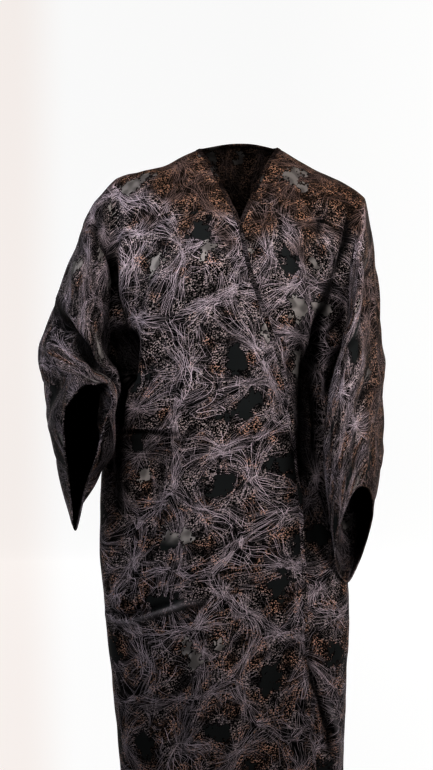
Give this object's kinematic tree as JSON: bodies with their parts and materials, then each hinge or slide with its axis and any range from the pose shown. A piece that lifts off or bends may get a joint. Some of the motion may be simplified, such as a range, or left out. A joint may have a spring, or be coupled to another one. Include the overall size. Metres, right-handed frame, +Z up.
{
  "type": "abaya",
  "caption": "Full-length open-front abaya in sheer black patterned organza, worn form, with a lapped V neck and wide kimono sleeves, a forearm held forwards.",
  "frame": {"origin": "midway between the two neck points of the shoulder seams, where the wearer's neck comes out and the shoulders carry the garment", "axes": "+Z up the wearer's back, +Y towards the wearer's back, the front faces -Y, and -X is the wearer's right"},
  "size_m": [0.6697, 0.3597, 1.4691],
  "materials": {
    "back_organza": "black burnt-out organza with fine lilac strokes, copper specks and sheer patches",
    "front_right_organza": "black burnt-out organza with fine lilac strokes, copper specks and sheer patches",
    "front_left_organza": "black burnt-out organza with fine lilac strokes, copper specks and sheer patches",
    "band_organza": "narrow doubled edge of the same cloth, darker and smoother"
  },
  "bodies": {
    "root": {"back": "back_organza", "front_right": "front_right_organza", "front_left": "front_left_organza", "neck_band": "band_organza"}
  },
  "joints": []
}
